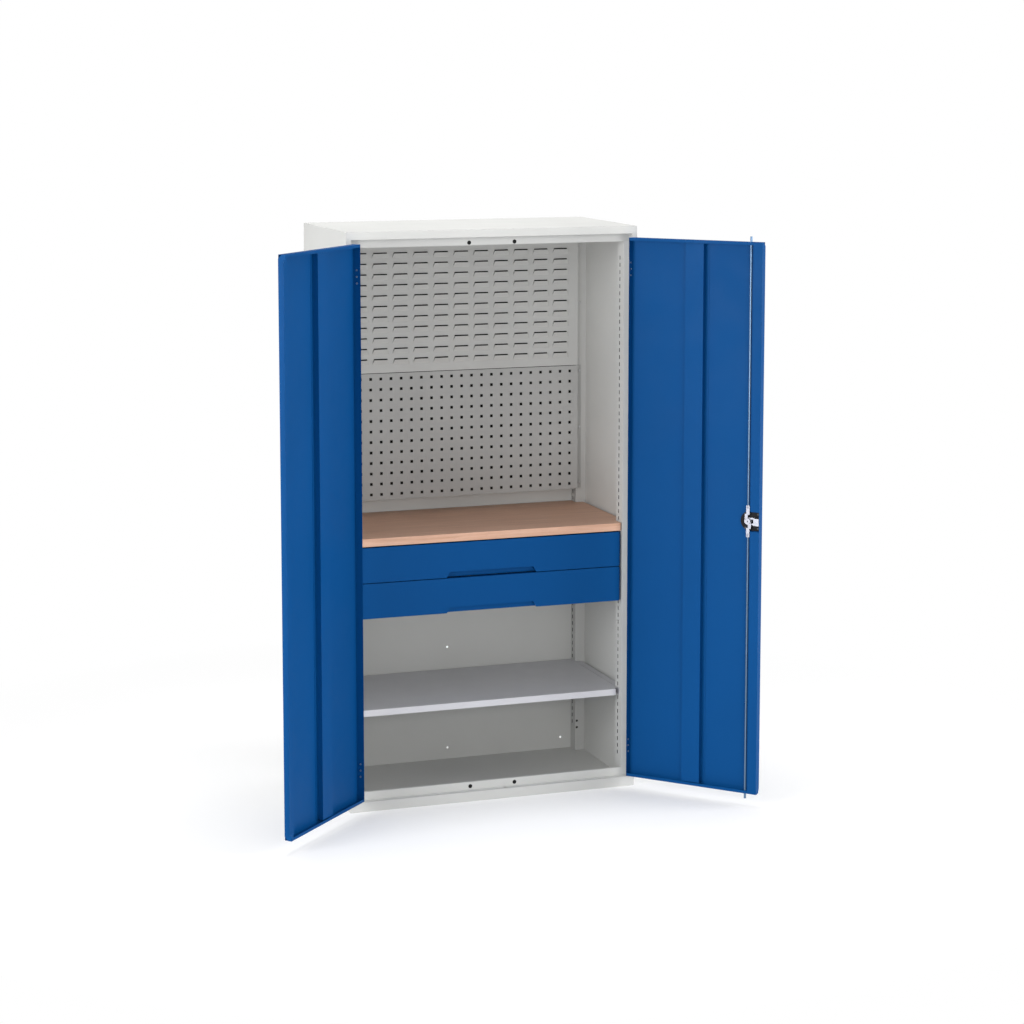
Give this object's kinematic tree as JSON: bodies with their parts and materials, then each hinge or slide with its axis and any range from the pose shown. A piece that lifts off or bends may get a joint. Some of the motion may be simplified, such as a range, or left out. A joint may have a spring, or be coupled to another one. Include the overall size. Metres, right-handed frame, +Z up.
{
  "type": "tool cabinet with doors",
  "caption": "Tall steel tool cabinet: hinged doors with a rod lock, louvred and perforated back panels, a wooden worktop, drawers on telescopic runners and a shelf.",
  "frame": {"origin": "centre of the carcass footprint, on the floor", "axes": "+Z up along the height, the doors and drawers open towards -Y, +X to the right seen from the front; stored with the doors standing open"},
  "size_m": [1.6921, 0.9577, 2],
  "materials": {
    "carcass_paint": "satin light grey",
    "door_paint": "satin blue",
    "zinc": "galvanised",
    "screws": "zinc plated",
    "bright_metal": "bright plated",
    "black_rubber": "matte",
    "black_plastic": "matte black",
    "worktop_board": "oiled beech board"
  },
  "bodies": {
    "carcass": {"side_left": "carcass_paint", "side_right": "carcass_paint", "rear_post_left": "carcass_paint", "rear_post_right": "carcass_paint", "back_panel": "carcass_paint", "top_cover": "carcass_paint", "top_rail": "carcass_paint", "plinth": "carcass_paint", "floor_pan": "carcass_paint", "door_buffers": "black_rubber", "louvre_panel": "carcass_paint", "perforated_panel": "carcass_paint", "panel_screws": "screws", "worktop": "worktop_board", "worktop_bracket_left": "zinc", "worktop_bracket_right": "zinc", "shelf": "zinc", "shelf_bracket_left": "zinc", "shelf_bracket_right": "zinc", "runner_channels_upper": "zinc", "runner_channels_lower": "zinc", "hinge_leaves_carcass": "zinc", "hinge_pins": "screws", "hinge_screws_carcass": "screws"},
    "left_door": {"door_left": "door_paint", "stiffener_left": "door_paint", "meeting_strip": "door_paint", "hinge_leaves_left": "zinc", "hinge_screws_left": "screws"},
    "right_door": {"door_right": "door_paint", "stiffener_right": "door_paint", "hinge_leaves_right": "zinc", "hinge_screws_right": "screws", "lock_housing": "black_plastic", "lock_screws": "screws", "handle_plate": "black_plastic"},
    "handle": {"door_handle": "black_plastic", "spindle": "bright_metal"},
    "plug": {"key_plug": "bright_metal"},
    "upper_rod": {"rod_upper": "bright_metal"},
    "lower_rod": {"rod_lower": "bright_metal"},
    "tongue": {"latch_tongue": "bright_metal"},
    "upper_middles": {"runner_middles_upper": "zinc"},
    "lower_middles": {"runner_middles_lower": "zinc"},
    "upper_drawer": {"drawer_box_upper": "carcass_paint", "drawer_front_upper": "door_paint", "runner_slides_upper": "zinc"},
    "lower_drawer": {"drawer_box_lower": "carcass_paint", "drawer_front_lower": "door_paint", "runner_slides_lower": "zinc"}
  },
  "joints": [
    {"name": "right_door_hinge", "type": "hinge", "parent": "carcass", "child": "right_door", "pos_m": [0.50575, -0.281, 0], "axis": [0, 0, 1], "range_deg": [-131.5, 43.5]},
    {"name": "left_door_hinge", "type": "hinge", "parent": "carcass", "child": "left_door", "pos_m": [-0.50575, -0.281, 0], "axis": [0, 0, -1], "range_deg": [-134.4, 40.6]},
    {"name": "handle_turn", "type": "hinge", "parent": "right_door", "child": "handle", "pos_m": [0.80623, -0.62968, 1.004], "axis": [0.749, 0.6626, 0], "range_deg": [-90, 0]},
    {"name": "key_turn", "type": "hinge", "parent": "handle", "child": "plug", "pos_m": [0.80623, -0.62968, 1.004], "axis": [0.749, 0.6626, 0], "range_deg": [0, 90]},
    {"name": "upper_rod_slide", "type": "slide", "parent": "right_door", "child": "upper_rod", "axis": [0, 0, 1], "range_m": [-0.0101, 0]},
    {"name": "lower_rod_slide", "type": "slide", "parent": "right_door", "child": "lower_rod", "axis": [0, 0, -1], "range_m": [-0.0101, 0]},
    {"name": "tongue_slide", "type": "slide", "parent": "right_door", "child": "tongue", "axis": [0.6626, -0.749, 0], "range_m": [-0.0121, 0]},
    {"name": "upper_drawer_slide", "type": "slide", "parent": "carcass", "child": "upper_drawer", "axis": [0, -1, 0], "range_m": [0, 0.4]},
    {"name": "lower_drawer_slide", "type": "slide", "parent": "carcass", "child": "lower_drawer", "axis": [0, -1, 0], "range_m": [0, 0.4]},
    {"name": "upper_middles_slide", "type": "slide", "parent": "carcass", "child": "upper_middles", "axis": [0, -1, 0], "range_m": [0, 0.2]},
    {"name": "lower_middles_slide", "type": "slide", "parent": "carcass", "child": "lower_middles", "axis": [0, -1, 0], "range_m": [0, 0.2]}
  ],
  "couplings": [
    {"joint": "upper_rod_slide", "follows": "handle_turn", "m_per_rad": 0.0063662},
    {"joint": "lower_rod_slide", "follows": "handle_turn", "m_per_rad": 0.0063662},
    {"joint": "tongue_slide", "follows": "handle_turn", "m_per_rad": 0.0076394},
    {"joint": "upper_middles_slide", "follows": "upper_drawer_slide", "ratio": 0.5},
    {"joint": "lower_middles_slide", "follows": "lower_drawer_slide", "ratio": 0.5}
  ]
}
